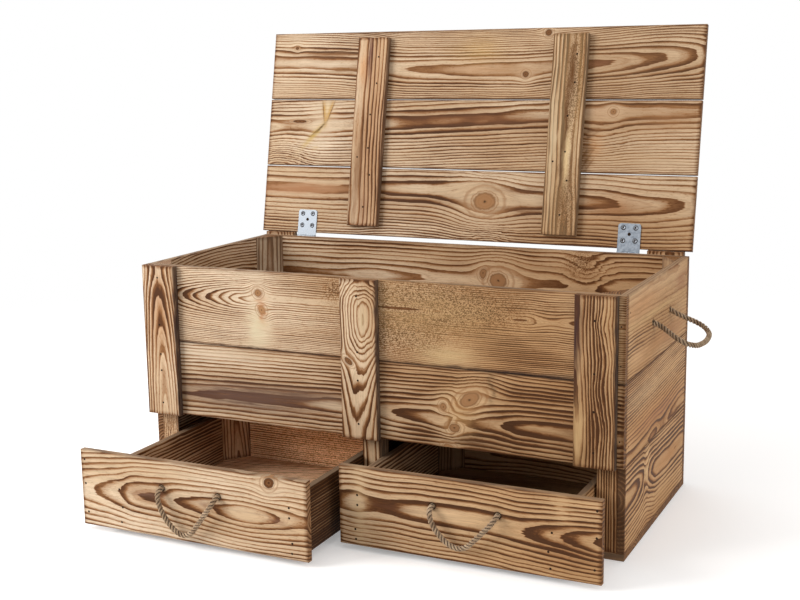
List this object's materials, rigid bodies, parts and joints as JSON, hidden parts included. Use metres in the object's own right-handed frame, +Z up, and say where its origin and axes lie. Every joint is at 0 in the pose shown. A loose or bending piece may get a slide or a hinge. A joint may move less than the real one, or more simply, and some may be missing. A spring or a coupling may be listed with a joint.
{
  "type": "storage chest",
  "caption": "Scorched pine storage chest with a hinged plank lid, rope-handled drawers under the storage space and rope handles on its sides.",
  "frame": {"origin": "on the floor at the middle of the carcass underside", "axes": "+Z up, +X to the right along the front, -Y out of the front"},
  "size_m": [1.1778, 0.8391, 0.9474],
  "materials": {
    "wall_pine": "scorched and brushed pine, matt",
    "batten_pine": "scorched and brushed pine, matt",
    "lid_pine": "scorched and brushed pine, matt",
    "drawer_pine": "scorched and brushed pine, matt",
    "inner_pine": "darker planed pine, matt",
    "zinc": "zinc plated, satin",
    "rope": "twisted jute, fibrous"
  },
  "bodies": {
    "carcass": {"back_board_lower": "wall_pine", "back_board_middle": "wall_pine", "back_board_upper": "wall_pine", "bottom_plank_front": "inner_pine", "bottom_plank_middle": "inner_pine", "bottom_plank_rear": "inner_pine", "centre_post": "inner_pine", "centre_runner": "inner_pine", "corner_post_front_left": "wall_pine", "corner_post_front_right": "wall_pine", "corner_post_rear_left": "wall_pine", "corner_post_rear_right": "wall_pine", "floor_ledger_left": "inner_pine", "floor_ledger_right": "inner_pine", "floor_plank_front": "inner_pine", "floor_plank_middle": "inner_pine", "floor_plank_rear": "inner_pine", "front_batten_left": "batten_pine", "front_batten_middle": "batten_pine", "front_batten_right": "batten_pine", "front_board_middle": "wall_pine", "front_board_upper": "wall_pine", "hinge_left_lower_leaf": "zinc", "hinge_left_pin": "zinc", "hinge_right_lower_leaf": "zinc", "hinge_right_pin": "zinc", "rear_batten_left": "batten_pine", "rear_batten_right": "batten_pine", "side_left_board_lower": "wall_pine", "side_left_board_middle": "wall_pine", "side_left_board_upper": "wall_pine", "side_right_board_lower": "wall_pine", "side_right_board_middle": "wall_pine", "side_right_board_upper": "wall_pine"},
    "lid": {"lid_batten_left": "lid_pine", "lid_batten_right": "lid_pine", "lid_plank_front": "lid_pine", "lid_plank_middle": "lid_pine", "lid_plank_rear": "lid_pine", "hinge_left_upper_leaf": "zinc", "hinge_right_upper_leaf": "zinc"},
    "drawer_left": {"drawer_left_back": "drawer_pine", "drawer_left_bottom": "drawer_pine", "drawer_left_corner_block_left": "drawer_pine", "drawer_left_corner_block_right": "drawer_pine", "drawer_left_front": "drawer_pine", "drawer_left_side_left": "drawer_pine", "drawer_left_side_right": "drawer_pine"},
    "drawer_right": {"drawer_right_back": "drawer_pine", "drawer_right_bottom": "drawer_pine", "drawer_right_corner_block_left": "drawer_pine", "drawer_right_corner_block_right": "drawer_pine", "drawer_right_front": "drawer_pine", "drawer_right_side_left": "drawer_pine", "drawer_right_side_right": "drawer_pine"},
    "drawer_left_loop": {"drawer_left_rope": "rope"},
    "drawer_right_loop": {"drawer_right_rope": "rope"},
    "side_left_loop": {"side_left_rope": "rope"},
    "side_right_loop": {"side_right_rope": "rope"}
  },
  "joints": [
    {"name": "lid_hinge", "type": "hinge", "parent": "carcass", "child": "lid", "pos_m": [0, 0.239, 0.4829], "axis": [1, 0, 0], "range_deg": [0, 101]},
    {"name": "left_drawer_slide", "type": "slide", "parent": "carcass", "child": "drawer_left", "axis": [0, 1, 0], "range_m": [-0.085, 0.235]},
    {"name": "right_drawer_slide", "type": "slide", "parent": "carcass", "child": "drawer_right", "axis": [0, 1, 0], "range_m": [-0.194, 0.126]},
    {"name": "left_drawer_rope_swing", "type": "hinge", "parent": "drawer_left", "child": "drawer_left_loop", "pos_m": [-0.2515, -0.471, 0.107], "axis": [-1, 0, 0], "range_deg": [0, 55]},
    {"name": "right_drawer_rope_swing", "type": "hinge", "parent": "drawer_right", "child": "drawer_right_loop", "pos_m": [0.2515, -0.362, 0.107], "axis": [-1, 0, 0], "range_deg": [0, 55]},
    {"name": "left_side_rope_swing", "type": "hinge", "parent": "carcass", "child": "side_left_loop", "pos_m": [-0.5, 0.016, 0.403], "axis": [0, 1, 0], "range_deg": [0, 70]},
    {"name": "right_side_rope_swing", "type": "hinge", "parent": "carcass", "child": "side_right_loop", "pos_m": [0.5, 0.016, 0.403], "axis": [0, -1, 0], "range_deg": [0, 70]}
  ]
}
